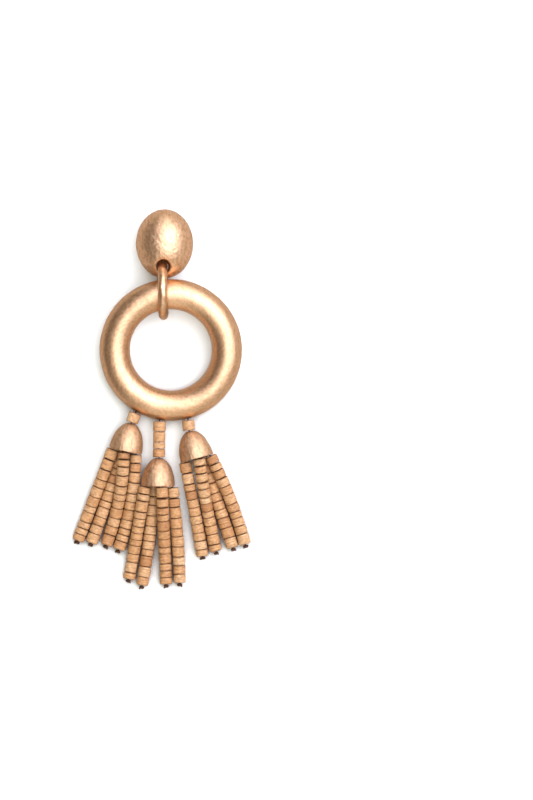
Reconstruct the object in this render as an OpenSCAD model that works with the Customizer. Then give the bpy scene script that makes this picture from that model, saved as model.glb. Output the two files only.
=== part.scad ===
// Tassel drop earring, one of a pair, lying on its back as it is put down.
// An oval clip-on top carries a link, the link carries a ring, and three bead
// tassels hang from cords in the ring's lower edge.
// The XY plane is the surface that it lies on. +Y runs from the tassels to the
// oval top, +Z is away from the surface, and the origin is under the oval.

/* [Oval top] */
// Width of the oval top
oval_w = 13.5; // [12:0.1:16]
// Length of the oval top
oval_l = 16.3; // [15:0.1:19]
// Height of the dome above its flat back
oval_h = 6.8; // [6:0.1:8]
// Diameter of the hole that the link passes through
eye_d = 3.4; // [3.2:0.1:4]
// How far that hole sits to the right of the oval's middle
eye_side = -0.2; // [-0.5:0.05:0.5]
// Metal left between that hole and the oval's lower edge
lip = 0.95; // [0.8:0.05:1.1]
// Tilt of the oval as it lies, with its far edge up
oval_tilt = 8; // [5:0.5:10]

/* [Ear clip] */
// Width of the clip's bent strip
clip_w = 5; // [4:0.1:6]
// Thickness of the strip and of its round pad
clip_t = 0.8; // [0.6:0.05:0.9]
// Diameter of the round pad behind the ear lobe
pad_d = 7; // [6:0.1:8]
// Distance from the clip's bend to the centre of the pad
pad_reach = 4.3; // [4:0.1:4.8]
// Length of the leg that is fixed to the oval's back
leg_l = 3.6; // [3:0.1:4.5]

/* [Link] */
// Outer diameter of the round link
link_d = 13.9; // [13.6:0.05:14.3]
// Diameter of the link's wire
link_wire = 2.25; // [2:0.05:2.4]
// Room between the link and the oval's lip
link_play = 0.3; // [0.25:0.05:0.4]
// How far the link sits to the right of the middle of the oval's hole
link_side = -0.15; // [-0.3:0.05:0.3]
// Turn of the link seen from above
link_lean = 1; // [-2:0.5:2]

/* [Ring] */
// Outer diameter of the large ring
ring_d = 33.5; // [31:0.1:38]
// Thickness of the ring's round tube
tube_d = 7.1; // [6.6:0.05:7.3]
// Angle from the ring's far point to the link
link_place = -7.8; // [-9:0.1:9]
// Turn of the ring in the link
ring_turn = -9.2; // [-12:0.1:0]
// Angle below level at which the ring leans against the link
ring_sag = 5; // [0:1:40]
// Angle between the cord holes in the ring's lower edge
hole_pitch = 22; // [21:0.5:24]
// Angle at which the cord holes open above the ring's own plane
hole_rise = 13; // [0:1:30]
// Diameter of each cord hole
hole_d = 1.4; // [1.2:0.05:1.6]
// Depth of each cord hole
hole_depth = 2.6; // [2:0.1:3]

/* [Tassel caps] */
// Diameter of a cap at its rim
cap_d = 7.9; // [7.6:0.1:8.4]
// Height of a cap
cap_h = 6.7; // [6:0.1:7.4]
// Thickness of a cap's wall
cap_wall = 0.5; // [0.4:0.05:0.8]
// Diameter of the hole in a cap's top
cap_eye = 1.2; // [1:0.05:1.3]

/* [Beads] */
// Diameter of the beads
bead_d = 2.85; // [2.6:0.05:2.9]
// Length of a short bead
bead_short = 1.4; // [1.2:0.05:1.6]
// Length of a middling bead
bead_middling = 1.85; // [1.65:0.05:2]
// Length of a long bead
bead_long = 2.3; // [2.1:0.05:2.5]
// Diameter of the hole through a bead
bore_d = 0.9; // [0.8:0.05:1.1]
// Gap between two beads on a cord
bead_gap = 0.15; // [0.14:0.01:0.25]
// Bevel on a bead's edges
bead_bevel = 0.12; // [0.05:0.01:0.2]
// Share by which the beads differ in length and thickness
bead_spread = 0.025; // [0:0.005:0.03]

/* [Cords] */
// Diameter of the cord in each string of beads
cord_d = 0.4; // [0.35:0.05:0.5]
// Diameter of the knot under the last bead
knot_d = 1.4; // [1.35:0.05:1.6]
// Length of that knot
knot_l = 0.75; // [0.6:0.05:1]

/* [Hidden] */
$fn = 96;
GOLD = "#cf9d62";
WOOD = "#c9935a";
CORD = "#4a2a1a";
clearance = 0.15;
// Room under what only just touches the surface
floor_gap = 0.04;
cap_steps = 12;
cord_sides = 6;

// Each tassel: name, place on the ring in hole pitches, heading of the cord
// from the ring to the cap, the beads on that cord, and heading of the cap.
// A heading is an angle from -Y towards +X.
TASSELS = [
    ["left", -0.92, -22, "l", -12.5],
    ["middle", 0, -1, "llsm", -1.6],
    ["right", 1.05, 6, "l", 16],
];

// Each string of beads under a cap: place across the cap and height over its
// axis at the rim, place across at the free end, and bow to the right, all in
// bead diameters; then the beads, short, middling and long.
STRINGS = [
    [
        [-1.03, 0.00, -2.26, 0.00, "lllmllslsss"],
        [-0.31, -0.80, -1.14, 0.12, "lmsmmlslmml"],
        [-0.08, 0.58, 0.13, 0.33, "ssmlmsmlmml"],
        [0.90, -0.20, 1.22, 0.32, "mmllmmlmssm"],
    ],
    [
        [-1.08, 0.23, -2.23, 0.02, "sslsmsssmmls"],
        [-0.35, -0.74, -1.12, 0.14, "lmllmsmsllm"],
        [0.32, 0.62, 0.86, 0.00, "lmsslmmslsss"],
        [1.20, 0.00, 2.00, 0.09, "lmllmllmmm"],
    ],
    [
        [-1.06, 0.00, -1.81, 0.04, "llsmmmmmmms"],
        [0.14, 0.52, -0.63, -0.07, "ssmsmsmsmmls"],
        [0.42, -0.80, 0.78, 0.03, "mmllmmmlll"],
        [1.15, 0.00, 1.86, 0.19, "msmmmlmsmml"],
    ],
];
// Share of their length at which the strings reach the surface
settle_share = 0.85;
// Steepest angle at which a cord bends out from under a cap's rim
rim_bend = 55;
// The knot's girth from its neck to its end, in shares of its length and width.
KNOT = [[0, cord_d / knot_d], [0.2, 0.9], [0.5, 1], [0.8, 0.85], [1, 0.4]];

STRANDS = [0, 1, 2, 3];
NECK_BEADS = [for (k = [0:2]) for (i = [0:len(TASSELS[k][3]) - 1]) [k, i]];
function neck_bead_name(k, i) =
    str("neck_bead_", TASSELS[k][0], len(TASSELS[k][3]) > 1 ? str("_", i + 1) : "");

// Unit direction of a heading, climbing out of the plan by the second angle
function aim(heading, climb = 0) =
    [sin(heading) * cos(climb), -cos(heading) * cos(climb), sin(climb)];
function sum(v, i = 0) = i < len(v) ? v[i] + sum(v, i + 1) : 0;

// The link stands on the surface and hangs on the lip below the oval's hole.
// The hole is upright as the oval lies, and its near wall runs up from the back
// to where it meets the tilted dome.
link_r = (link_d - link_wire) / 2;
link_inner = link_d / 2 - link_wire;
link_x = eye_side + link_side;
link_z = link_d / 2;
lip_y = lip - oval_l / 2 * cos(oval_tilt);
lip_depth =
    let (
        level = pow(oval_l / 2 * cos(oval_tilt), 2),
        a = pow(sin(oval_tilt), 2) / level + 1 / pow(oval_h, 2),
        b = 2 * lip_y * sin(oval_tilt) / level,
        c = pow(lip_y, 2) / level - 1
    )
    (sqrt(b * b - 4 * a * c) - b) / (2 * a) / cos(oval_tilt);
oval_z = link_z - lip_depth / 2 - lip_y * tan(oval_tilt);
eye_y = lip_y + eye_d / 2;
link_y = lip_y - sqrt(pow(link_inner - link_play, 2) - pow(lip_depth / 2, 2));

// The ring lies with its near edge on the surface and its far edge held up by
// the link, which crosses its tube at an angle.
ring_r = (ring_d - tube_d) / 2;
ring_far = ring_r * cos(link_place);
ring_play = link_inner - tube_d / 2 / cos(link_place) - clearance;
ring_tilt = asin((link_z - ring_play * sin(ring_sag) - tube_d / 2) / (ring_r + ring_far));
ring_c = [
    link_x - ring_r * sin(link_place),
    link_y - ring_play * cos(ring_sag) - ring_far * cos(ring_tilt),
    tube_d / 2 + ring_r * sin(ring_tilt),
];
// The cord holes open on the tube's outside, a little above its widest line.
function hole_angle(k) = ring_turn + TASSELS[k][1] * hole_pitch;
function ring_out(angle) =
    [sin(angle), -cos(angle) * cos(ring_tilt), -cos(angle) * sin(ring_tilt)];
ring_up = [0, -sin(ring_tilt), cos(ring_tilt)];
function hole_aim(k) = cos(hole_rise) * ring_out(hole_angle(k)) + sin(hole_rise) * ring_up;
function hole_point(k, depth) =
    ring_c + ring_r * ring_out(hole_angle(k)) + (tube_d / 2 - depth) * hole_aim(k);
function mouth(k) = hole_point(k, 0);

// Beads differ a little, always in the same way for the same seed.
function bead_length(kind) =
    kind == "s" ? bead_short : kind == "m" ? bead_middling : bead_long;
function bead_lengths(kinds, seed) =
    let (differ = rands(-1, 1, len(kinds), seed))
    [for (i = [0:len(kinds) - 1]) bead_length(kinds[i]) * (1 + bead_spread * differ[i])];
function bead_widths(kinds, seed) =
    let (differ = rands(-1, 1, len(kinds), seed + 50))
    [for (w = differ) bead_d * (1 + bead_spread * w)];

// The cord from the ring to a cap. Its first bead clears the tube's widest line
// at the angle that it lies, and the cord drops so that the cap's rim touches
// the surface.
function neck_lengths(k) = bead_lengths(TASSELS[k][3], 10 + k);
function first_gap(k) =
    clearance + tube_d / 2 * (1 - cos(hole_rise))
        + bead_d / 2 * abs(sin(TASSELS[k][2] - hole_angle(k)));
function neck_length(k) =
    first_gap(k) + sum([for (l = neck_lengths(k)) l + bead_gap]) - bead_gap + clearance;
function climb(k) =
    asin((cap_d / 2 + floor_gap - mouth(k).z) / (neck_length(k) + cap_h));
function neck_aim(k) = aim(TASSELS[k][2], climb(k));
function cap_aim(k) = aim(TASSELS[k][4], climb(k));
function cap_top(k) = mouth(k) + neck_length(k) * neck_aim(k);
function rim_centre(k) = cap_top(k) + cap_h * cap_aim(k);
function neck_bead_at(k, i) =
    mouth(k) + neck_aim(k) * (first_gap(k)
        + sum([for (j = [0:1:i - 1]) neck_lengths(k)[j] + bead_gap]));

// The line of one string of beads. Share 0 is under the cap's rim and share 1
// at the free end; the string drops to the surface on the way.
function string_lengths(k, s) = bead_lengths(STRINGS[k][s][4], 100 + 10 * k + s);
function string_widths(k, s) = bead_widths(STRINGS[k][s][4], 100 + 10 * k + s);
function string_run(k, s) = sum([for (l = string_lengths(k, s)) l + bead_gap]);
function string_slant(k, s) =
    let (row = STRINGS[k][s])
    bead_d * (row[2] - row[0] + 4 * row[3]) / string_run(k, s);
// How far a string's cord lies from the cap's axis under the rim, and inside it
function string_reach(k, s) = bead_d * norm([STRINGS[k][s][0], STRINGS[k][s][1]]);
cap_mouth = cap_d / 2 - cap_wall - cord_d - clearance;
// The first bead's near corner clears the rim, however bead and cap slant, and
// the cord has room to bend out from under the rim.
function rim_gap(k, s) =
    let (lean = sin(climb(k)))
    bead_d * (abs(lean) / 2 - STRINGS[k][s][1] * lean)
        + max(clearance + bead_d / 2 * abs(string_slant(k, s)),
            (string_reach(k, s) - cap_mouth) / tan(rim_bend));
function drop(share) =
    let (t = min(share / settle_share, 1)) pow(1 - t, 2) * (1 + 2 * t);
function string_point(k, s, share) =
    let (
        row = STRINGS[k][s],
        turn = TASSELS[k][4],
        across = bead_d * (row[0] + (row[2] - row[0]) * share + row[3] * 4 * share * (1 - share)),
        low = bead_d * (1 + bead_spread) / 2 + floor_gap,
        high = rim_centre(k).z + row[1] * bead_d,
        flat = rim_centre(k) + aim(turn) * (rim_gap(k, s) + string_run(k, s) * share)
            + across * [cos(turn), sin(turn), 0]
    )
    [flat.x, flat.y, low + (high - low) * drop(share)];
function string_step(k, s, share) =
    (string_point(k, s, share + 0.005) - string_point(k, s, share - 0.005)) / 0.01;
// Share that a length takes up from a share on
function share_of(k, s, share, l) = l / norm(string_step(k, s, share));
// Sine of the bend between the string's directions at two shares
function bend(k, s, a, b) =
    let (u = string_step(k, s, a), v = string_step(k, s, b))
    norm(cross(u, v)) / norm(u) / norm(v);
// Share at which each bead begins, and the string's end as the last entry. A
// bend opens the gap by what the beads' corners close it.
function bead_starts(k, s) =
    let (l = string_lengths(k, s))
    [for (
        i = 0, t = 0;
        i <= len(l);
        ahead = i < len(l) ? t + share_of(k, s, t, l[i] + bead_gap) : t,
        t = ahead + share_of(k, s, ahead, bead_d / 2 * bend(k, s, t, ahead)),
        i = i + 1
    ) t];

// Turns children from +Z to a direction and moves them to a point
module aimed(at, towards) {
    translate(at)
        rotate([0, acos(towards.z / norm(towards)), atan2(towards.y, towards.x)])
            children();
}

// A drilled bead with bevelled edges, centred on a point
module bead(at, towards, l, d) {
    half = l / 2;
    aimed(at, towards)
        rotate_extrude()
            polygon([
                [bore_d / 2, -half], [d / 2 - bead_bevel, -half], [d / 2, bead_bevel - half],
                [d / 2, half - bead_bevel], [d / 2 - bead_bevel, half], [bore_d / 2, half],
            ]);
}

// A round cord through a list of points, with its own radius at each
module cord(points, radii) {
    last = len(points) - 1;
    function heading(i) = points[min(i + 1, last)] - points[max(i - 1, 0)];
    function loop(i) =
        let (
            ahead = heading(i) / norm(heading(i)),
            side = cross(ahead, [0, 0, 1]) / norm(cross(ahead, [0, 0, 1])),
            up = cross(side, ahead)
        )
        [for (j = [0:cord_sides - 1])
            points[i] + radii[i] * (cos(360 * j / cord_sides) * side
                + sin(360 * j / cord_sides) * up)];
    walls = [for (i = [0:last - 1]) for (j = [0:cord_sides - 1])
        let (a = i * cord_sides + j, b = i * cord_sides + (j + 1) % cord_sides)
        [a, b, b + cord_sides, a + cord_sides]];
    start = [for (j = [cord_sides - 1:-1:0]) j];
    end = [for (j = [0:cord_sides - 1]) last * cord_sides + j];
    polyhedron([for (i = [0:last]) each loop(i)], concat([start], walls, [end]));
}

module oval_top() {
    color(GOLD) difference() {
        translate([0, 0, oval_z]) rotate([oval_tilt, 0, 0]) difference() {
            scale([oval_w / 2, oval_l / 2, oval_h]) sphere(r = 1);
            translate([0, 0, -oval_h]) cube(2 * [oval_w, oval_l, oval_h], center = true);
        }
        translate([eye_side, eye_y, 0]) cylinder(d = eye_d, h = oval_z + oval_h);
    }
}

// A strip bent in a U: one leg is fixed to the oval's back, and the other lies
// on the surface and carries the pad.
module ear_clip() {
    eye_edge = eye_y + eye_d / 2 + clearance;
    outer = (oval_z * cos(oval_tilt) + eye_edge * sin(oval_tilt) - clearance)
        / (1 + cos(oval_tilt) - sin(oval_tilt));
    bend_y = eye_edge + outer;
    color(GOLD) {
        translate([0, bend_y, outer]) rotate([90, 0, 90]) translate([0, 0, -clip_w / 2]) {
            rotate([0, 0, 90 + oval_tilt]) rotate_extrude(angle = 180 - oval_tilt)
                translate([outer - clip_t, 0]) square([clip_t, clip_w]);
            rotate([0, 0, oval_tilt]) translate([0, outer - clip_t, 0])
                cube([leg_l, clip_t, clip_w]);
            translate([0, -outer, 0]) cube([pad_reach, clip_t, clip_w]);
        }
        translate([0, bend_y + pad_reach, 0]) cylinder(d = pad_d, h = clip_t);
    }
}

module link() {
    color(GOLD)
        translate([link_x, link_y, link_z]) rotate([0, 0, link_lean]) rotate([0, 90, 0])
            rotate_extrude() translate([link_r, 0]) circle(d = link_wire);
}

module ring() {
    color(GOLD) difference() {
        translate(ring_c) rotate([ring_tilt, 0, 0])
            rotate_extrude() translate([ring_r, 0]) circle(d = tube_d);
        for (k = [0:2])
            aimed(hole_point(k, hole_depth), hole_aim(k)) cylinder(d = hole_d, h = 2 * hole_depth);
    }
}

// A thin bell: half an ellipsoid outside and inside, with an eye in its top
module cap(k) {
    r = cap_d / 2;
    function arc(radius, height, turn) =
        [radius * sin(turn), cap_h - height * cos(turn)];
    function turns(radius) =
        let (from = asin(cap_eye / 2 / radius))
        [for (i = [0:cap_steps]) from + (90 - from) * i / cap_steps];
    outer = [for (a = turns(r)) arc(r, cap_h, a)];
    inner = [for (a = turns(r - cap_wall)) arc(r - cap_wall, cap_h - cap_wall, a)];
    color(GOLD)
        aimed(cap_top(k), cap_aim(k))
            rotate_extrude()
                polygon(concat(outer, [for (i = [cap_steps:-1:0]) inner[i]]));
}

module neck_bead(k, i) {
    l = neck_lengths(k)[i];
    width = bead_widths(TASSELS[k][3], 10 + k)[i];
    color(WOOD)
        bead(neck_bead_at(k, i) + neck_aim(k) * l / 2, neck_aim(k), l, width);
}

// The cord from the ring's hole through its beads to a knot inside the cap
module neck_cord(k) {
    inside = hole_point(k, hole_depth - clearance);
    knot = cap_top(k) + cap_aim(k) * (cap_wall + knot_l);
    thin = cord_d / 2;
    points = concat(
        [inside, mouth(k)],
        [for (i = [0:len(TASSELS[k][3]) - 1])
            each [neck_bead_at(k, i), neck_bead_at(k, i) + neck_aim(k) * neck_lengths(k)[i]]],
        [cap_top(k), cap_top(k) + cap_aim(k) * (cap_wall + clearance)],
        [for (row = KNOT) knot + cap_aim(k) * knot_l * row[0]]
    );
    color(CORD)
        cord(points, [for (i = [0:len(points) - 1])
            i < len(points) - len(KNOT) ? thin : knot_d / 2 * KNOT[i - len(points) + len(KNOT)][1]]);
}

// One string of drilled beads
module bead_string(k, s) {
    starts = bead_starts(k, s);
    lengths = string_lengths(k, s);
    widths = string_widths(k, s);
    color(WOOD)
        for (i = [0:len(lengths) - 1]) {
            share = starts[i] + lengths[i] / 2 / norm(string_step(k, s, starts[i]));
            bead(string_point(k, s, share), string_step(k, s, share), lengths[i], widths[i]);
        }
}

// The cord through one string, from inside the cap to the knot at its free end
module string_cord(k, s) {
    row = STRINGS[k][s];
    turn = TASSELS[k][4];
    starts = bead_starts(k, s);
    // Which way the string lies from the cap's axis, and how far at the rim
    aside = row[0] * [cos(turn), sin(turn), 0] + row[1] * [0, 0, 1];
    spread = min(string_reach(k, s), cap_mouth);
    deep = cap_h - cap_wall - 2 * knot_l - clearance - cord_d;
    gather = rim_centre(k) - cap_aim(k) * deep + (cord_d + clearance) * aside;
    rim = rim_centre(k) + spread * aside / norm(aside);
    end = string_point(k, s, starts[len(starts) - 1]);
    out = string_step(k, s, starts[len(starts) - 1]);
    tip = end + out / norm(out) * (clearance - bead_gap);
    points = concat(
        [gather, rim],
        [for (i = [0:len(starts) - 2]) string_point(k, s, starts[i])],
        [for (knot = KNOT) tip + out / norm(out) * knot_l * knot[0]]
    );
    color(CORD)
        cord(points, [for (i = [0:len(points) - 1])
            i < len(points) - len(KNOT) ? cord_d / 2
                : knot_d / 2 * KNOT[i - len(points) + len(KNOT)][1]]);
}

oval_top();
ear_clip();
link();
ring();
for (k = [0:2])
    cap(k);
for (b = NECK_BEADS)
    neck_bead(b[0], b[1]);
for (k = [0:2])
    neck_cord(k);
for (k = [0:2]) for (s = STRANDS)
    bead_string(k, s);
for (k = [0:2]) for (s = STRANDS)
    string_cord(k, s);
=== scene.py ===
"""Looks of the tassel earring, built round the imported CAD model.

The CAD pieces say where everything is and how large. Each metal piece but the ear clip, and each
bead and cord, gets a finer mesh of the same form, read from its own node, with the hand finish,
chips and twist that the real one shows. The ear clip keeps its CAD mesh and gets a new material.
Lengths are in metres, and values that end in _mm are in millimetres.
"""

import math

import bmesh
import bpy
import numpy as np
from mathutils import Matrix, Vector


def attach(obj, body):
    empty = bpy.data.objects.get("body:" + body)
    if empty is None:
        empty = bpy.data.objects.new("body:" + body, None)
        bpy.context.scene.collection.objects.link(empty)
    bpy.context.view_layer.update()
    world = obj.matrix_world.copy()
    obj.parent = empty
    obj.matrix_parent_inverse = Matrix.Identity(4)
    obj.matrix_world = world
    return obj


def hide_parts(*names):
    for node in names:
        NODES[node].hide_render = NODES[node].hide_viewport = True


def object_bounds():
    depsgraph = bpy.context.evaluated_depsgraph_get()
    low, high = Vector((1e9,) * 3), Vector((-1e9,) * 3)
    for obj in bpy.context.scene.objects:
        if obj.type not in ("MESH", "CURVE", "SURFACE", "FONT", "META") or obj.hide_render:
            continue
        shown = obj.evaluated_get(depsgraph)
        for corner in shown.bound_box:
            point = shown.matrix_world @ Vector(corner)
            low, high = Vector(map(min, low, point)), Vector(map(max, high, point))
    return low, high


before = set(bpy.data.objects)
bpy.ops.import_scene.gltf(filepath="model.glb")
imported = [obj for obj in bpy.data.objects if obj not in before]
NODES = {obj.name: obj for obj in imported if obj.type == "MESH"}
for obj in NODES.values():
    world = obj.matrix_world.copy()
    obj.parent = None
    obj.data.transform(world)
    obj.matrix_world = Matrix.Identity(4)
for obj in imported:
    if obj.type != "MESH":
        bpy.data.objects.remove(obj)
cad_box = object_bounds()

MM = 0.001
TASSELS = ("left", "middle", "right")
STRANDS = (1, 2, 3, 4)
UP = np.array([0.0, 0.0, 1.0])

# The photograph: its size, its scale on the surface, and the pixel over the origin
PHOTO_W, PHOTO_H = 533, 800
PIXEL = 0.235 * MM
ORIGIN_PX = (164.6, 243.7)


# Reading the CAD nodes

def unit(v):
    return np.asarray(v, float) / np.linalg.norm(v)


def unit_rows(v):
    return v / (np.linalg.norm(v, axis=-1, keepdims=True) + 1e-12)


def off_axis(away, axis):
    """Distance of each row of away from a line through the origin along axis."""
    return np.linalg.norm(away - np.outer(away @ axis, axis), axis=1)


def even_turns(count):
    """A full turn in even steps, without its end."""
    return np.arange(count) * 2 * math.pi / count


def solid(node):
    """A node's corners, each listed once, and its triangles."""
    mesh = NODES[node].data
    mesh.calc_loop_triangles()
    corners = np.array([v.co for v in mesh.vertices], float)
    _, first, back = np.unique(
        np.round(corners / (0.001 * MM)), axis=0, return_index=True, return_inverse=True
    )
    triangles = np.array([t.vertices for t in mesh.loop_triangles])
    return corners[first], back.reshape(-1)[triangles]


def loose_parts(corners, triangles):
    """The separate solids of a node, each as corners and triangles."""
    label = np.arange(len(corners))
    while True:
        lowest = label[triangles].min(1)
        before = label.copy()
        np.minimum.at(label, triangles.ravel(), np.repeat(lowest, 3))
        label = label[label]
        if (label == before).all():
            break
    parts = []
    for name in np.unique(label):
        mine = np.flatnonzero(label == name)
        place = np.full(len(label), -1)
        place[mine] = np.arange(len(mine))
        parts.append((corners[mine], place[triangles[label[triangles[:, 0]] == name]]))
    return parts


def triangle_normals(corners, triangles):
    a, b, c = (corners[triangles[:, i]] for i in range(3))
    cross = np.cross(b - a, c - a)
    area = np.linalg.norm(cross, axis=1) / 2
    return cross / (2 * area[:, None] + 1e-20), area


def largest_face(corners, triangles):
    """Normal of the largest flat face, and the corners on it."""
    normals, area = triangle_normals(corners, triangles)
    _, group = np.unique(np.round(normals, 2), axis=0, return_inverse=True)
    sizes = np.bincount(group.reshape(-1), weights=area)
    start = np.flatnonzero(group.reshape(-1) == sizes.argmax())[0]
    normal = normals[start]
    same = normals @ normal > 0.9999
    level = (corners[triangles[:, 0]] - corners[triangles[start, 0]]) @ normal
    flat = np.unique(triangles[same & (abs(level) < 0.002 * MM)])
    return normal, corners[flat]


def torus_of(node):
    """Centre, axis, ring radius and wire radius of a node that is a torus."""
    corners, triangles = solid(node)
    _, area = triangle_normals(corners, triangles)
    middles = corners[triangles].mean(1)
    mean = np.average(middles, axis=0, weights=area)
    spread = (middles - mean).T @ ((middles - mean) * area[:, None])
    axes = np.linalg.eigh(spread)[1]
    along = corners @ axes
    centre = axes @ ((along.min(0) + along.max(0)) / 2)
    axis = axes[:, 0] * (1 if axes[:, 0] @ (UP + [1e-3, 0, 0]) > 0 else -1)
    reach = off_axis(corners - centre, axis)
    return centre, axis, (reach.max() + reach.min()) / 2, (reach.max() - reach.min()) / 2


def bead_of(corners, triangles):
    """Centre, axis, length, radius and bore radius of a drilled bead."""
    axis, _ = largest_face(corners, triangles)
    along = corners @ axis
    centre = corners.mean(0)
    centre = centre + axis * ((along.max() + along.min()) / 2 - centre @ axis)
    reach = off_axis(corners - centre, axis)
    return centre, axis, along.max() - along.min(), reach.max(), reach.min()


def beads_of(node):
    """Every bead of a node, from the one nearest the ring to the last."""
    beads = [bead_of(*part) for part in loose_parts(*solid(node))]
    return sorted(beads, key=lambda b: -b[0][1])


# Corners of each loop of a CAD cord, the loops that its knot has, and a distance
# from a cord's end within which a knot has many more corners than a plain end
CORD_SIDES = 6
KNOT_LOOPS = 5
KNOT_REACH = 0.6 * MM


def centreline(node):
    """Centre and radius of each loop of a CAD cord, from its plain end to its knot."""
    corners, triangles = solid(node)
    near = [set() for _ in corners]
    for a, b, c in triangles:
        near[a] |= {b, c}
        near[b] |= {a, c}
        near[c] |= {a, b}
    far = np.linalg.norm(corners - corners.mean(0), axis=1).argmax()
    ends = [far, np.linalg.norm(corners - corners[far], axis=1).argmax()]
    crowd = [(np.linalg.norm(corners - corners[e], axis=1) < KNOT_REACH).sum() for e in ends]
    start = ends[int(np.argmin(crowd))]
    order = np.linalg.norm(corners - corners[start], axis=1).argsort()
    layer = set(order[:CORD_SIDES].tolist())
    seen = set(layer)
    line = []
    while layer:
        points = corners[sorted(layer)]
        centre = points.mean(0)
        line.append((centre, np.linalg.norm(points - centre, axis=1).mean()))
        layer = set().union(*(near[i] for i in layer)) - seen
        seen |= layer
    return line


# Making meshes

def ripple(points, wave, seed, waves=14):
    """Smooth noise between about -1 and 1, with a given wavelength, over points."""
    random = np.random.default_rng(seed)
    heading = random.normal(size=(waves, 3))
    heading /= np.linalg.norm(heading, axis=1)[:, None]
    turns = heading * (random.uniform(0.6, 1.6, waves) * 2 * math.pi / wave)[:, None]
    phase = random.uniform(0, 2 * math.pi, waves)
    return np.sin(points @ turns.T + phase).sum(-1) / (0.75 * waves ** 0.5 * 1.5)


def frame_of(axis, toward=(0.0, 1.0, 0.01)):
    """Two directions square to an axis, the first as near as can be to another direction."""
    axis = unit(axis)
    side = unit(np.asarray(toward, float) - axis * (np.asarray(toward, float) @ axis))
    return side, np.cross(axis, side)


def patch(points, skin_u, skin_v, wrap_u, wrap_v, **values):
    """A grid of points as corners, quads, skin coordinates and values at each corner.
    skin_u and skin_v are the grid lines' places on the surface, one more than the
    points where the grid closes on itself."""
    rows, columns = points.shape[:2]
    i, j = np.meshgrid(
        np.arange(rows if wrap_u else rows - 1),
        np.arange(columns if wrap_v else columns - 1),
        indexing="ij",
    )
    i, j = i.ravel(), j.ravel()
    corners = [(i, j), (i + 1, j), (i + 1, j + 1), (i, j + 1)]
    quads = np.stack([(a % rows) * columns + b % columns for a, b in corners], 1)
    skin_u, skin_v = np.asarray(skin_u, float), np.asarray(skin_v, float)
    skin = np.stack([np.stack([skin_u[a], skin_v[b]], 1) for a, b in corners], 1)
    spread = {
        name: np.broadcast_to(value, (rows, columns)).ravel() for name, value in values.items()
    }
    return points.reshape(-1, 3), quads, skin, spread


def piece(name, patches, material, slot, *nodes, sharp=50):
    """One mesh of several patches, which rides on the body and stands for CAD nodes."""
    corners = np.concatenate([p[0] for p in patches])
    starts = np.cumsum([0] + [len(p[0]) for p in patches])
    quads = np.concatenate([p[1] + s for p, s in zip(patches, starts)])
    mesh = bpy.data.meshes.new(name)
    mesh.from_pydata(corners.tolist(), [], quads.tolist())
    layer = mesh.uv_layers.new(name="skin")
    layer.data.foreach_set("uv", np.concatenate([p[2] for p in patches]).ravel())
    for value in patches[0][3]:
        attribute = mesh.attributes.new(value, "FLOAT", "POINT")
        attribute.data.foreach_set("value", np.concatenate([p[3][value] for p in patches]))
    seal(mesh)
    mesh.shade_smooth()
    mesh.set_sharp_from_angle(angle=math.radians(sharp))
    made = bpy.data.objects.new(name, mesh)
    bpy.context.scene.collection.objects.link(made)
    made.data.materials.append(material)
    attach(made, "root")
    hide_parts(*nodes)
    return made


def seal(mesh):
    """Joins the corners that meet at a pole and turns every face outwards."""
    work = bmesh.new()
    work.from_mesh(mesh)
    bmesh.ops.remove_doubles(work, verts=work.verts, dist=1e-7)
    bmesh.ops.dissolve_degenerate(work, edges=work.edges, dist=1e-8)
    bmesh.ops.recalc_face_normals(work, faces=work.faces)
    work.to_mesh(mesh)
    work.free()


def lathe(profile, centre, axis, sides, change=None, toward=(0.0, 1.0, 0.01)):
    """A closed profile of (radius, height, ...) rows turned round an axis. change moves the
    points: it takes radius, height and angle, and gives radius and height."""
    side, other = frame_of(axis, toward)
    turn = even_turns(sides)
    radius = np.repeat(profile[None, :, 0], sides, 0)
    height = np.repeat(profile[None, :, 1], sides, 0)
    angle = np.repeat(turn[:, None], len(profile), 1)
    if change:
        radius, height = change(radius, height, angle)
    points = (
        centre
        + (radius * np.cos(angle))[..., None] * side
        + (radius * np.sin(angle))[..., None] * other
        + height[..., None] * unit(axis)
    )
    steps = np.linalg.norm(np.diff(profile[:, :2], axis=0, append=profile[:1, :2]), axis=1)
    skin_v = np.concatenate([[0], np.cumsum(steps)]) / MM
    skin_u = np.linspace(0, 2 * math.pi * profile[:, 0].max(), sides + 1) / MM
    return points, skin_u, skin_v


def tube(path, radius, sides):
    """A tube of one radius for each point of a path, closed at both ends."""
    path, radius = np.asarray(path, float), np.asarray(radius, float)
    ahead = np.gradient(path, axis=0)
    ahead /= np.linalg.norm(ahead, axis=1)[:, None]
    side = np.zeros_like(path)
    last = frame_of(ahead[0])[0]
    for i, direction in enumerate(ahead):
        last = unit(last - direction * (last @ direction))
        side[i] = last
    other = np.cross(ahead, side)
    turn = even_turns(sides)[None, :, None]
    out = np.cos(turn) * side[:, None] + np.sin(turn) * other[:, None]
    points = path[:, None] + radius[:, None, None] * out
    points = np.concatenate([np.repeat(path[:1, None], sides, 1), points,
                             np.repeat(path[-1:, None], sides, 1)])
    run = np.linalg.norm(np.diff(points.mean(1), axis=0), axis=1)
    skin_u = np.concatenate([[0], np.cumsum(run)]) / MM
    skin_v = np.linspace(0, 2 * math.pi * radius.max(), sides + 1) / MM
    return patch(points, skin_u, skin_v, False, True)


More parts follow.
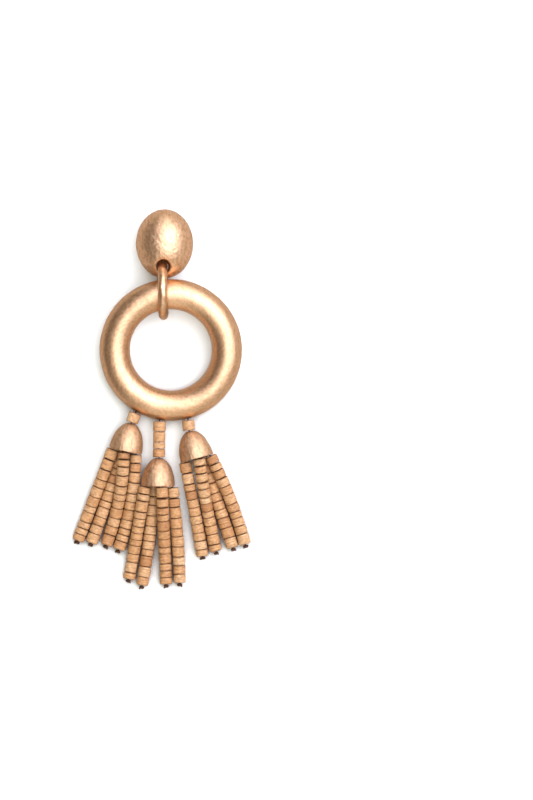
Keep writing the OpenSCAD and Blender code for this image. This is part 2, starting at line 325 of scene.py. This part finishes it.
def smooth_path(points, step):
    """Points at even steps along a smooth curve through a few."""
    points = np.asarray(points, float)
    before, after = 2 * points[0] - points[1], 2 * points[-1] - points[-2]
    padded = np.concatenate([[before], points, [after]])
    made = []
    for a, b, c, d in zip(padded, padded[1:], padded[2:], padded[3:]):
        steps = max(2, int(np.linalg.norm(c - b) / step))
        for t in np.linspace(0, 1, steps, endpoint=False):
            made.append(0.5 * (2 * b + (c - a) * t + (2 * a - 5 * b + 4 * c - d) * t * t
                               + (3 * b - a - 3 * c + d) * t ** 3))
    return np.array(made + [points[-1]])


def cut(target, cutters):
    """Cuts closed meshes out of a piece for good."""
    for cutter in cutters:
        change = target.modifiers.new("cut", "BOOLEAN")
        change.operation, change.solver, change.object = "DIFFERENCE", "EXACT", cutter
    bpy.context.view_layer.update()
    seen = target.evaluated_get(bpy.context.evaluated_depsgraph_get())
    mesh = bpy.data.meshes.new_from_object(seen)
    target.modifiers.clear()
    old, target.data = target.data, mesh
    bpy.data.meshes.remove(old)
    for cutter in cutters:
        bpy.data.objects.remove(cutter)
    mesh.set_sharp_from_angle(angle=math.radians(40))


def drill(name, start, direction, length, radius, lip, steps=1):
    """A round cutter with a flared mouth at its start, its shaft in a few steps."""
    # The mouth's rows: how much wider than the shaft and how deep, in shares of the lip
    mouth = [(3.2, -3), (1, 0), (0.45, 0.25), (0.12, 0.6), (0, 1.1)]
    rows = [(0, lip * mouth[0][1])]
    rows += [(radius + lip * wider, lip * deep) for wider, deep in mouth]
    rows += [(radius, z) for z in np.linspace(rows[-1][1], length, steps + 1)[1:]]
    rows += [(0, length)]
    points, skin_u, skin_v = lathe(np.array(rows, float), start, direction, 48)
    made = patch(points, skin_u, skin_v, True, True)
    mesh = bpy.data.meshes.new(name)
    mesh.from_pydata(made[0].tolist(), [], made[1].tolist())
    mesh.uv_layers.new(name="skin")
    seal(mesh)
    mesh.shade_smooth()
    cutter = bpy.data.objects.new(name, mesh)
    bpy.context.scene.collection.objects.link(cutter)
    return cutter


# Materials

class Graph:
    """Adds nodes to one material or world and wires them."""

    def __init__(self, owner):
        self.owner = owner
        owner.use_nodes = True
        self.tree = owner.node_tree
        self.tree.nodes.clear()

    def add(self, kind, inputs=None, out=0, **settings):
        """Adds a node, gives its inputs values or links, and returns one of its outputs."""
        node = self.tree.nodes.new(kind)
        for key, value in settings.items():
            setattr(node, key, value)
        for socket, value in (inputs or {}).items():
            if isinstance(value, bpy.types.NodeSocket):
                self.tree.links.new(value, node.inputs[socket])
            else:
                node.inputs[socket].default_value = value
        return node.outputs[out] if node.outputs else None

    def maths(self, operation, a, b):
        return self.add("ShaderNodeMath", {0: a, 1: b}, operation=operation)

    def times(self, a, b):
        return self.maths("MULTIPLY", a, b)

    def plus(self, a, b):
        return self.maths("ADD", a, b)

    def mapped(self, value, low, high, to_low=0.0, to_high=1.0):
        return self.add("ShaderNodeMapRange", {"Value": value, "From Min": low, "From Max": high,
                                               "To Min": to_low, "To Max": to_high})

    def bump(self, height, depth_mm):
        return self.add("ShaderNodeBump", {
            "Strength": 1.0, "Distance": depth_mm * MM, "Height": height})

    def mix(self, factor, a, b, blend="MIX"):
        # The colour sockets of this node are its inputs 6 and 7 and its output 2
        return self.add("ShaderNodeMix", {0: factor, 6: a, 7: b}, out=2,
                        data_type="RGBA", blend_type=blend, clamp_factor=True)

    def ramp(self, value, first, last, between):
        """A colour ramp from 0 to 1, with (place, colour) stops between its ends."""
        made = self.add("ShaderNodeValToRGB", {"Fac": value})
        stops = made.node.color_ramp.elements
        stops[0].color, stops[1].color = rgba(*first), rgba(*last)
        for place, colour in between:
            stops.new(place).color = rgba(*colour)
        return made

    def noise(self, vector, scale, detail=4.0, rough=0.55, turn=0.0):
        """Noise stretched by a scale for each direction, in cycles a millimetre."""
        placed = self.add("ShaderNodeMapping", {
            "Vector": vector, "Rotation": (0, 0, math.radians(turn)),
            "Scale": tuple(1 / s for s in scale)}, vector_type="TEXTURE")
        return self.add("ShaderNodeTexNoise", {
            "Vector": placed, "Scale": 1.0, "Detail": detail, "Roughness": rough})

    def skin(self):
        return self.add("ShaderNodeUVMap", uv_map="skin")

    def attribute(self, name):
        return self.add("ShaderNodeAttribute", out="Fac", attribute_name=name)

    def finish(self, shader_inputs):
        shader = self.add("ShaderNodeBsdfPrincipled", shader_inputs)
        self.add("ShaderNodeOutputMaterial", {"Surface": shader})
        return self.owner


def rgba(r, g, b):
    return (r, g, b, 1.0)


def gold(name, light, dark, turn, brush, depth, rough, dent, in_space=False, painted_inner_shade=False):
    """Satin gold: a beaten, mottled face with a brush finish drawn over it one way.
    light and dark are the worn and the unworn colour, and turn is the strokes' heading in
    degrees. brush is how many strokes to a millimetre across and along it, and how strong they
    are. depth is the relief in millimetres, rough the range of roughness, and dent how many
    dents to a millimetre, and how strong. A piece with painted inner shade is dull and dark
    where its inside value is 1: painted shade in its hollow."""
    g = Graph(bpy.data.materials.new(name))
    if in_space:
        object_place = g.add("ShaderNodeTexCoord", out="Object")
        place = g.add("ShaderNodeVectorMath", {0: object_place, "Scale": 1 / MM},
                      operation="SCALE")
    else:
        place = g.skin()
    across, along, strength = brush
    dents_per_mm, dent_strength = dent
    crossing, crossed_strength, grain_strength = 36, 0.8, 0.32
    strokes = g.noise(place, (across, along, 1), 5, 0.62, turn)
    # Some patches are brushed a second time, at an angle to the first
    crossed = g.noise(place, (across * 0.9, along, 1), 4, 0.6, turn + crossing)
    patches = g.mapped(g.noise(place, (0.20, 0.20, 1), 2), 0.50, 0.60)
    grain = g.noise(place, (1.5, 1.5, 1), 4, 0.65)
    dents = g.noise(place, (dents_per_mm, dents_per_mm, 1), 3, 0.5)
    height = g.plus(g.times(strokes, strength),
                    g.times(g.times(crossed, patches), crossed_strength))
    height = g.plus(height, g.times(grain, grain_strength))
    height = g.plus(height, g.times(dents, dent_strength))
    worn = g.mapped(g.plus(strokes, grain), 0.75, 1.1)
    colour = g.mix(worn, rgba(*dark), rgba(*light))
    roughness = g.mapped(grain, 0.3, 0.7, *rough)
    if painted_inner_shade:
        # Painted shade: the hollow inside turns dull dark brown
        inside = g.attribute("inside")
        colour = g.mix(inside, colour, rgba(0.10, 0.055, 0.03))
        roughness = g.maths("MAXIMUM", roughness, g.times(inside, 0.85))
    return g.finish({
        "Base Color": colour, "Metallic": 1.0, "Roughness": roughness,
        "Normal": g.bump(height, depth)})


def wood(name, rough, coat):
    """Bare turned wood: a tone for each bead, fine lines round it, pores, and dark ends and
    seams that are partly dirt and partly painted shade.
    """
    g = Graph(bpy.data.materials.new(name))
    place = g.skin()
    lines = g.noise(place, (0.5, 3.4, 1), 5, 0.68, 5)
    grain = g.noise(place, (1.3, 2.4, 1), 4, 0.6, -8)
    blotch = g.noise(place, (0.8, 0.8, 1), 2)
    pores = g.mapped(g.noise(place, (1.8, 6.0, 1), 3, 0.5, 3), 0.58, 0.68)
    tone = g.ramp(g.attribute("tone"), (0.40, 0.180, 0.062), (0.62, 0.40, 0.21),
                  [(0.5, (0.55, 0.30, 0.124))])
    shade = g.mapped(g.plus(lines, g.times(grain, 0.7)), 0.68, 1.02)
    colour = g.mix(shade, g.mix(1.0, tone, rgba(0.56, 0.43, 0.32), "MULTIPLY"),
                   g.mix(1.0, tone, rgba(1.18, 1.22, 1.26), "MULTIPLY"))
    # What darkens the tone, how strongly, and in which colour: blotches and pores are stains,
    # and the ends and seams hold dirt and painted shade
    for spot, strength, stain in (
        (blotch, 0.3, (0.61, 0.355, 0.175)),
        (pores, 0.55, (0.17, 0.075, 0.03)),
        # Painted shade between the beads, with dirt: ends and seams turn dark brown
        (g.attribute("end"), 0.75, (0.16, 0.065, 0.024)),
    ):
        colour = g.mix(g.times(spot, strength), colour, rgba(*stain))
    height = g.maths("SUBTRACT", g.plus(g.times(lines, 0.8), g.times(grain, 0.5)),
                     g.times(pores, 0.6))
    return g.finish({
        "Base Color": colour, "Normal": g.bump(height, 0.07),
        "Roughness": g.mapped(lines, 0.3, 0.7, *rough),
        "Specular IOR Level": 0.4, "Coat Weight": coat, "Coat Roughness": 0.3})


def thread(name):
    """Waxed dark brown twist, with fibres along it."""
    g = Graph(bpy.data.materials.new(name))
    place = g.skin()
    fibres = g.noise(place, (1.2, 14.0, 1), 4, 0.6, 12)
    wax = g.noise(place, (1.5, 1.5, 1), 3)
    colour = g.mix(fibres, rgba(0.028, 0.011, 0.005), rgba(0.125, 0.052, 0.023))
    return g.finish({
        "Base Color": colour, "Normal": g.bump(fibres, 0.03),
        "Roughness": g.mapped(wax, 0.3, 0.7, 0.55, 0.8), "Specular IOR Level": 0.25})


# The metal pieces

def hole_of(ring, cord_node):
    """Mouth, inward direction, depth and radius of the cord hole that a neck cord enters."""
    line = centreline(cord_node)
    inside, mouth = line[0][0], line[1][0]
    inward = unit(inside - mouth)
    corners, _ = solid("ring")
    centre, axis, big, small = ring
    away = corners - centre
    # The hole's floor: corners well inside the tube and close to the cord's end
    deep = np.hypot(off_axis(away, axis) - big, away @ axis) < small - 1.0 * MM
    near = corners[deep & (np.linalg.norm(corners - inside, axis=1) < 2 * MM)] - mouth
    return mouth, inward, (near @ inward).max(), off_axis(near, inward).max()


def torus_patch(shape, around, across, change):
    """A torus whose wire radius change() alters, with its seams on the underside."""
    centre, axis, big, small = shape
    side, other = frame_of(axis)
    u, v = even_turns(around), even_turns(across) - math.pi / 2
    out = np.cos(u)[:, None] * side + np.sin(u)[:, None] * other
    spot = (centre + (big + small * np.cos(v))[None, :, None] * out[:, None]
            + (small * np.sin(v))[None, :, None] * axis)
    wire = small + change(spot)
    points = (centre + (big + wire * np.cos(v))[..., None] * out[:, None]
              + (wire * np.sin(v))[..., None] * axis)
    return patch(points, np.linspace(0, 2 * math.pi * big, around + 1) / MM,
                 np.linspace(0, 2 * math.pi * small, across + 1) / MM, True, True)


def make_ring(material):
    """The large ring, filed by hand, with its three flared cord holes."""
    shape = torus_of("ring")

    def worn(spot):
        return 0.022 * MM * ripple(spot, 7 * MM, 11) + 0.005 * MM * ripple(spot, 1.6 * MM, 12)

    made = piece("ring_skin", [torus_patch(shape, 400, 96, worn)], material, "gold_ring", "ring")
    flare = 0.22 * MM
    cut(made, [drill(f"drill_{side}", *hole_of(shape, f"neck_cord_{side}"), flare)
               for side in TASSELS])


def make_link(material):
    """The round link, hammered by hand, so that its wire isn't even."""
    shape = torus_of("link")

    def hammered(spot):
        return -0.045 * MM * (0.6 + ripple(spot, 3.0 * MM, 21)) \
            - 0.016 * MM * ripple(spot, 1.1 * MM, 22)

    piece("link_skin", [torus_patch(shape, 220, 48, hammered)], material, "gold_link", "link")


def oval_of():
    """Centre of the oval's back, its width, length and height directions, its half
    sizes, its height, and the eyelet's x, y and radius."""
    corners, triangles = solid("oval_top")
    normal, back = largest_face(corners, triangles)
    normal = -normal
    across = np.array([1.0, 0.0, 0.0])
    length = np.cross(normal, across)
    u, v = back @ across, back @ length
    middle = np.array([(u.max() + u.min()) / 2, (v.max() + v.min()) / 2])
    half = np.array([u.max() - u.min(), v.max() - v.min()]) / 2
    centre = across * middle[0] + length * middle[1] + normal * (back[0] @ normal)
    height = ((corners - centre) @ normal).max()
    # The back's corners within its outline are the eyelet's
    inside = back[((u - middle[0]) / half[0]) ** 2 + ((v - middle[1]) / half[1]) ** 2 < 0.97]
    low, high = inside.min(0), inside.max(0)
    eye = ((low[0] + high[0]) / 2, (low[1] + high[1]) / 2, (high[0] - low[0]) / 2)
    return centre, across, length, normal, half, height, eye


def make_oval(material):
    """The domed oval top with a softly rounded eyelet hole through it."""
    centre, across, length, normal, half, height, eye = oval_of()
    around, dome_steps, back_steps = 200, 80, 24
    # The back's bevel, then how far round the eyelet the face dips, and how deep
    edge, dip_reach, dip = 0.25 * MM, 0.45 * MM, 0.30 * MM
    # The eyelet's flare, the rings of its cutter, how far that goes on below the
    # back, and the height over which it draws in to the link's wire
    eye_flare, eye_steps, below, narrowing = 0.05 * MM, 12, 0.6 * MM, 3.2 * MM
    turn = even_turns(around)
    # Each loop's share of the half sizes and of the height, over the dome and back
    dome = np.linspace(0, math.pi / 2, dome_steps)
    back = np.linspace(1, 0, back_steps)[1:]
    share = np.array([math.sin(a) for a in dome] + list(back))
    rise = np.array([math.cos(a) for a in dome] + [0.0] * len(back))
    inset = np.where(np.arange(len(share)) >= dome_steps, edge * share, 0.0)
    flat = (np.cos(turn)[:, None, None] * (share * half[0] - inset)[None, :, None] * across
            + np.sin(turn)[:, None, None] * (share * half[1] - inset)[None, :, None] * length)
    lift = (rise * height)[None, :, None] * normal
    points = centre + flat + lift
    points[:, :dome_steps - 2] -= normal * 0.02 * MM
    beaten = 0.02 * MM * (1 + ripple(points, 3.4 * MM, 31)) \
        + 0.006 * MM * (1 + ripple(points, 1.1 * MM, 32))
    gap = np.hypot(points[..., 0] - eye[0], points[..., 1] - eye[1]) - eye[2]
    sink = dip * np.clip(1 - gap / dip_reach, 0, 1) ** 2.2
    upper = (rise > 0)[None, :]
    points = points - unit_rows(flat + lift) * ((beaten + sink) * upper)[..., None]
    corners, quads, _, values = patch(
        points, np.zeros(around + 1), np.zeros(len(share)), True, False)
    # The brush ran along the oval, so its skin is the plan
    plan = np.stack([(corners - centre) @ across, (corners - centre) @ length], 1) / MM
    made = piece("oval_skin", [(corners, quads, plan[quads], values)], material,
                 "gold_oval", "oval_top")
    above = np.array([eye[0], eye[1], points[..., 2].max() + 1 * MM])
    low = centre[2] - (np.array(eye[:2]) - centre[:2]) @ normal[:2] / normal[2]
    cutter = drill("drill_eye", above, -UP, above[2] - low + below, eye[2], eye_flare, eye_steps)
    taper(cutter, torus_of("link"), eye, low + narrowing, low)
    cut(made, [cutter])


def taper(cutter, link, eye, top, low):
    """Draws the eyelet's cutter in to the link's wire, from a top level to a low one."""
    centre, axis, big, small = link
    play = 0.12 * MM
    for corner in cutter.data.vertices:
        share = min(max((top - corner.co.z) / (top - low), 0), 1)
        drop = min(max(corner.co.z, low), top) - centre[2]
        # The wire's section at this level: its two edges along y, and its centre
        far, near = (centre[1] + math.sqrt((big + s * small) ** 2 - drop ** 2) for s in (1, -1))
        x, y = (corner.co.x - eye[0]) / eye[2], (corner.co.y - eye[1]) / eye[2]
        wire_y = (far + near) / 2
        lean = ((wire_y - centre[1]) * axis[1] + drop * axis[2]) / axis[0]
        wire_x = centre[0] - lean + x * (small + play)
        wire_y += y * ((far - near) / 2 + play)
        corner.co.x += (wire_x - corner.co.x) * share
        corner.co.y += (wire_y - corner.co.y) * share


def bell_of(node):
    """Rim centre, axis away from the top, rim radii, height of the dome and eye radius."""
    corners, triangles = solid(node)
    axis, rim = largest_face(corners, triangles)
    away = corners - rim.mean(0)
    reach = off_axis(away, axis)
    rim_reach = np.linalg.norm(rim - rim.mean(0), axis=1)
    outer, inner, eye = rim_reach.max(), rim_reach.min(), reach.min()
    height = -(away @ axis).min() / math.sqrt(1 - (eye / outer) ** 2)
    return rim.mean(0), axis, outer, inner, height, eye


def make_cap(side, material, seed):
    """A bell cap of beaten metal: uneven rim, soft dents and a rolled eye."""
    centre, axis, outer, inner, height, eye = bell_of(f"cap_{side}")
    wall = outer - inner
    roll = 0.16 * MM
    outside_steps, inside_steps, sides = 44, 26, 132

    def arc(radius, rise, steps, from_eye):
        start = math.asin(eye / radius)
        turns = np.linspace(start, math.pi / 2, steps)
        turns = turns if from_eye else turns[::-1]
        return [(radius * math.sin(a), rise * math.cos(a)) for a in turns]

    outside = arc(outer, height, outside_steps, True)
    inside = arc(inner, height - wall, inside_steps, False)
    # The rim is rolled, and the eye's upper edge eased
    outside[-1] = (outer - 0.01 * MM, roll)
    lip = [(outer - roll * 0.25, roll * 0.3), (outer - roll, 0.0), (inner + roll, 0.0),
           (inner + roll * 0.25, roll * 0.3)]
    inside[0] = (inner, roll)
    top_o, top_i = outside[0][1], inside[-1][1]
    mouth = [(eye, top_i + (top_o - top_i) * t) for t in (0.35, 0.7)]
    outside[0] = (eye + 0.06 * MM, top_o - 0.02 * MM)
    profile = np.array(outside + lip + inside + mouth)

    def beaten(radius, rise, angle):
        where = np.stack([radius * np.cos(angle), radius * np.sin(angle), rise], -1)
        low = np.clip(1 - rise / (0.35 * height), 0, 1)
        dent = 0.03 * MM * ripple(where, 3.2 * MM, seed) \
            + 0.012 * MM * ripple(where, 1.1 * MM, seed + 1)
        bent = 0.10 * MM * (0.6 + ripple(where * [1, 1, 0], 5 * MM, seed + 2)) * low
        return radius - dent, rise - bent

    # The inside begins halfway across the rim, which has four rows
    within = (np.arange(len(profile)) >= len(outside) + 2).astype(float)
    points, skin_u, skin_v = lathe(profile, centre, -axis, sides, beaten, toward=-UP)
    bell = patch(points, skin_u, skin_v, True, True, inside=within)
    piece(f"cap_skin_{side}", [bell], material, "gold_cap", f"cap_{side}")


# Beads and cords

# Corners round a bead, and how far each of its ends stands into the CAD's gap
BEAD_SIDES = 40
BEAD_REACH = 0.045 * MM


def bead_patch(bead, seed):
    """One turned bead, with a tone of its own. Its ends nearly meet the next bead's at the bore,
    and fall back to uneven seams at the outside, darkened with dirt and painted shade."""
    centre, axis, length, radius, bore = bead
    random = np.random.default_rng(seed)
    half = length / 2 + BEAD_REACH
    edge = random.uniform(0.05, 0.10, 2) * MM
    ends = []
    for k, sign in ((0, -1), (1, 1)):
        # Rows of radius, height and darkness (dirt and painted shade): across the end, then
        # round its edge
        rows = [(bore + (radius - edge[k] - bore) * t, half, 1.0)
                for t in (0.0, 0.4, 0.7, 0.9, 1.0)]
        rows += [(radius - edge[k] * (1 - math.sin(a)), half - edge[k] * (1 - math.cos(a)),
                  0.9 - 0.5 * a / (math.pi / 2)) for a in np.radians([30, 60, 90])]
        ends.append([(r, sign * z, e) for r, z, e in rows])
    steps = np.array([-0.97, -0.88, -0.75, -0.5, -0.2, 0.2, 0.5, 0.75, 0.88, 0.97])
    side = [(radius, t * (half - edge.max()), 0.0) for t in steps]
    bore_rows = [(bore, t * half, 1.0) for t in (0.6, 0.0, -0.6)]
    profile = np.array(ends[0] + side + ends[1][::-1] + bore_rows)
    seam = random.uniform(0.03, 0.32, 2) * MM
    width = random.uniform(0.12, 0.34, 2) * MM
    facing = random.uniform(0, 2 * math.pi, 2)
    chip = random.uniform(0.04, 0.16, 2) * MM * (random.random(2) < 0.4)
    chip_at = random.uniform(0, 2 * math.pi, 2)
    bulge = random.uniform(-0.01, 0.025) * MM

    def fall(z, angle):
        """How far each point lies into the seam at its end, from 0 to 1, and the depth."""
        into = np.zeros_like(z)
        deep = np.zeros_like(z)
        for k, sign in ((0, -1), (1, 1)):
            near = np.clip(1 - (half - sign * z) / width[k], 0, 1)
            here = 0.35 + 0.65 * (1 + np.cos(angle - facing[k])) / 2
            bite = np.exp(-((np.angle(np.exp(1j * (angle - chip_at[k]))) / 0.35) ** 2))
            into += near * here
            deep += near ** 1.4 * (seam[k] * here + chip[k] * bite)
        return into, deep

    def turned(r, z, angle):
        outer = np.clip((r - bore) / (radius - bore), 0, 1)
        where = np.stack([r * np.cos(angle), r * np.sin(angle), z], -1)
        uneven = 0.016 * MM * ripple(where, 2.2 * MM, seed + 1) \
            + 0.007 * MM * ripple(where * [1, 1, 4], 0.9 * MM, seed + 2)
        uneven = uneven + bulge * (1 - (z / half) ** 2)
        return r + (uneven - fall(z, angle)[1]) * outer, z

    points, skin_u, skin_v = lathe(profile, centre, axis, BEAD_SIDES, turned)
    angle = even_turns(BEAD_SIDES)[:, None]
    into = fall(profile[None, :, 1] + 0 * angle, angle)[0]
    shift = random.uniform(0, 60, 2)
    tone = np.clip(random.normal(0.5, 0.24), 0, 1)
    # The end value darkens the bead's ends and seams: dirt, and painted shade between beads
    return patch(points, skin_u + shift[0], skin_v + shift[1], True, True,
                 tone=tone, end=np.clip(profile[None, :, 2] + into * 0.8, 0, 1))


def make_beads(name, node, material, seed):
    """Every bead of one node, in one mesh."""
    patches = [bead_patch(bead, seed * 100 + 3 * i) for i, bead in enumerate(beads_of(node))]
    piece(name, patches, material, "wood_bead", node)


def twist(path, radius, lead):
    """Two strands wound round a path."""
    run = np.concatenate([[0], np.cumsum(np.linalg.norm(np.diff(path, axis=0), axis=1))])
    ahead = unit_rows(np.gradient(path, axis=0))
    side = unit_rows(np.cross(ahead, UP))
    other = np.cross(side, ahead)
    strands = []
    for k in (0, 1):
        turn = (run / lead * 2 * math.pi + k * math.pi)[:, None]
        off = 0.46 * radius[:, None] * (np.cos(turn) * side + np.sin(turn) * other)
        strands.append(tube(path + off, radius * 0.56, 8))
    return strands


def knot(centre, axis, radius, length, wire, seed):
    """An overhand knot drawn tight, lying flat across the string, and its short tail."""
    random = np.random.default_rng(seed)
    side, other = frame_of(axis, np.cross(axis, UP) + random.normal(size=3) * 0.3)
    t = np.linspace(0, 2 * math.pi, 73)
    thick = length * 0.42
    # A trefoil, seen along the string
    loop = np.stack([np.sin(t) + 2 * np.sin(2 * t), np.cos(t) - 2 * np.cos(2 * t)], 1) / 3
    loop = loop * (radius - thick) * random.uniform(0.8, 1.05, 2)
    lift = -np.sin(3 * t) * (length / 2 - thick)
    path = centre + loop[:, :1] * side + loop[:, 1:] * other + lift[:, None] * axis
    made = [tube(path, thick * (1 + 0.12 * np.sin(3 * t + seed)), 8)]
    # The tail leaves the knot to one side, and a little towards the surface
    out = unit(axis * random.uniform(0.3, 1.0) + side * random.choice((-1, 1)) - UP * 0.2)
    reach = radius * np.array([0.4, 0.8, 1.05])
    tail = smooth_path(centre + reach[:, None] * out, 0.1 * MM)
    made.append(tube(tail, np.full(len(tail), wire * 0.8), 6))
    return made


def make_cord(name, node, material, seed):
    """The twisted cord of one string, with its knot."""
    line = centreline(node)
    wire = line[0][1]
    knot_r = max(r for _, r in line)
    first, last = line[-KNOT_LOOPS][0], line[-1][0]
    axis = unit(last - first)
    length = np.linalg.norm(last - first)
    middle = (last + first) / 2
    path = smooth_path([c for c, _ in line[:-KNOT_LOOPS]] + [middle], 0.2 * MM)
    strands = twist(path, np.full(len(path), wire), 1.3 * MM)
    tied = knot(middle, axis, knot_r, length, wire, seed)
    piece(name, strands + tied, material, "dark_cord", node, sharp=80)


# Studio

def make_floor():
    """A white table under the earring, with painted shade close to its pieces, and a painted
    darker reflection where the metal mirrors it."""
    mesh = bpy.data.meshes.new("floor")
    reach, below, shaded = 2.5, 0.02 * MM, 3.5 * MM
    mesh.from_pydata([(-reach, -reach, 0), (reach, -reach, 0), (reach, reach, 0),
                      (-reach, reach, 0)], [], [(0, 1, 2, 3)])
    floor = bpy.data.objects.new("floor", mesh)
    floor.location.z = -below
    bpy.context.scene.collection.objects.link(floor)
    g = Graph(bpy.data.materials.new("table"))
    place = g.add("ShaderNodeTexCoord", out="Object")
    speckle = g.add("ShaderNodeTexNoise", {"Vector": place, "Scale": 900.0, "Detail": 3.0})
    white = g.mix(speckle, rgba(0.92, 0.95, 0.91), rgba(0.96, 0.99, 0.95))
    # Painted shade: close to the pieces the table's colour turns dark brown, by ambient
    # occlusion
    open_sky = g.add("ShaderNodeAmbientOcclusion", {"Distance": shaded}, out="AO", samples=6)
    white = g.mix(g.mapped(open_sky, 0.24, 0.70), rgba(0.12, 0.06, 0.035), white)
    # Painted reflection: the metal mirrors the table in a darker brown than the camera sees
    mirrored = g.add("ShaderNodeLightPath", out="Is Glossy Ray")
    colour = g.mix(mirrored, white, rgba(0.37, 0.32, 0.275))
    diffuse = g.add("ShaderNodeBsdfDiffuse", {"Color": colour})
    g.add("ShaderNodeOutputMaterial", {"Surface": diffuse})
    mesh.materials.append(g.owner)


# Each lamp: its name, direction from the earring, distance and side in metres, power
# in watts and tint, and whether the metal mirrors it
LAMPS = [
    ("key", (0.46, 0.08, 1.0), 0.7, 0.9, 4.1, (0.97, 0.96, 1.20), True),
    ("key_up", (0.38, 0.66, 1.0), 0.7, 0.9, 3.4, (0.97, 0.96, 1.20), True),
    ("sky", (0, 0, 1), 1.2, 1.5, 7.6, (0.93, 1.01, 0.87), False),
]


def make_light(centre, name, toward, distance, size, power, tint, mirrored):
    """A soft square lamp seen in a direction from the earring."""
    lamp = bpy.data.lights.new(name, "AREA")
    lamp.shape, lamp.size, lamp.energy, lamp.color = "SQUARE", size, power, tint
    made = bpy.data.objects.new(name, lamp)
    toward = Vector(toward).normalized()
    made.location = Vector(centre) + toward * distance
    made.rotation_mode = "QUATERNION"
    made.rotation_quaternion = toward.to_track_quat("Z", "Y")
    made.visible_glossy = mirrored
    bpy.context.scene.collection.objects.link(made)


def make_world():
    """A room, dark on the earring's left, bright above and below it, middling on its
    right."""
    g = Graph(bpy.data.worlds.new("room"))
    place = g.add("ShaderNodeTexCoord", out="Generated")
    right = Vector((1.0, -0.15, 0)).normalized()
    slope = g.add("ShaderNodeVectorMath", {0: place, 1: right}, out="Value",
                  operation="DOT_PRODUCT")
    walls = g.ramp(
        g.mapped(slope, -1.0, 1.0), (0.14, 0.115, 0.10), (0.42, 0.38, 0.34),
        [(0.26, (0.20, 0.17, 0.145)), (0.50, (0.97, 0.93, 0.88)), (0.70, (0.58, 0.54, 0.49))])
    back = g.add("ShaderNodeBackground", {"Color": walls, "Strength": 1.15})
    g.add("ShaderNodeOutputWorld", {"Surface": back})
    bpy.context.scene.world = g.owner


def make_camera():
    """A long lens straight above, framed as the photograph."""
    # The photograph's scale holds at this level over the surface
    level = 6 * MM
    lens_mm, sensor_mm = 250, 36
    camera = bpy.data.cameras.new("camera")
    camera.lens, camera.sensor_width = lens_mm, sensor_mm
    made = bpy.data.objects.new("camera", camera)
    distance = PHOTO_H * PIXEL * lens_mm / sensor_mm
    made.location = (
        (PHOTO_W / 2 - ORIGIN_PX[0]) * PIXEL, -(PHOTO_H / 2 - ORIGIN_PX[1]) * PIXEL,
        level + distance,
    )
    camera.clip_start, camera.clip_end = 0.01, 10
    bpy.context.scene.collection.objects.link(made)
    bpy.context.scene.camera = made


def make_studio():
    low, high = cad_box
    make_floor()
    make_world()
    for lamp in LAMPS:
        make_light((low + high) / 2, *lamp)
    make_camera()
    bpy.context.scene.view_settings.view_transform = "Standard"


# The earring

def make_earring():
    """Every piece with its material, in the order of the random draws' seeds."""
    warm, brown = (0.86, 0.565, 0.33), (0.66, 0.395, 0.205)
    make_oval(gold(
        "satin_oval", light=(0.92, 0.62, 0.375), dark=brown, turn=6, brush=(2.4, 0.7, 0.4),
        depth=0.080, rough=(0.36, 0.50), dent=(1.3, 1.3)))
    make_ring(gold(
        "satin_ring", light=warm, dark=brown, turn=50, brush=(2.6, 0.4, 0.28),
        depth=0.034, rough=(0.32, 0.44), dent=(0.7, 0.9)))
    make_link(gold(
        "satin_link", light=warm, dark=brown, turn=0, brush=(3.0, 0.8, 0.3),
        depth=0.030, rough=(0.28, 0.42), dent=(1.2, 1.2)))
    # The caps' insides get painted shade
    bell = gold(
        "satin_cap", light=(0.82, 0.545, 0.32), dark=(0.50, 0.315, 0.165), turn=0,
        brush=(2.0, 0.22, 1.3), depth=0.090, rough=(0.46, 0.62), dent=(1.1, 1.1), painted_inner_shade=True)
    for k, side in enumerate(TASSELS):
        make_cap(side, bell, 40 + 5 * k)
    clip = NODES["ear_clip"]
    clip.data.materials.clear()
    clip.data.materials.append(gold(
        "satin_clip", light=warm, dark=brown, turn=0, brush=(4.0, 0.6, 0.4),
        depth=0.02, rough=(0.32, 0.42), dent=(0.8, 0.8), in_space=True))

    bare = wood("bare_wood", rough=(0.46, 0.62), coat=0.0)
    glossy = wood("glossy_wood", rough=(0.3, 0.45), coat=0.25)
    dark = thread("waxed_thread")
    necks = sorted(n for n in NODES if n.startswith("neck_bead_"))
    for i, node in enumerate(necks):
        polish = glossy if node == "neck_bead_right" else bare
        make_beads(f"turned_{node}", node, polish, 70 + i)
    for k, side in enumerate(TASSELS):
        make_cord(f"neck_thread_{side}", f"neck_cord_{side}", dark, 300 + k)
        for strand in STRANDS:
            seed = 10 * k + strand
            make_beads(f"beads_{side}_{strand}", f"string_{side}_{strand}", bare, seed)
            make_cord(f"thread_{side}_{strand}", f"cord_{side}_{strand}", dark, 400 + seed)


make_studio()
make_earring()
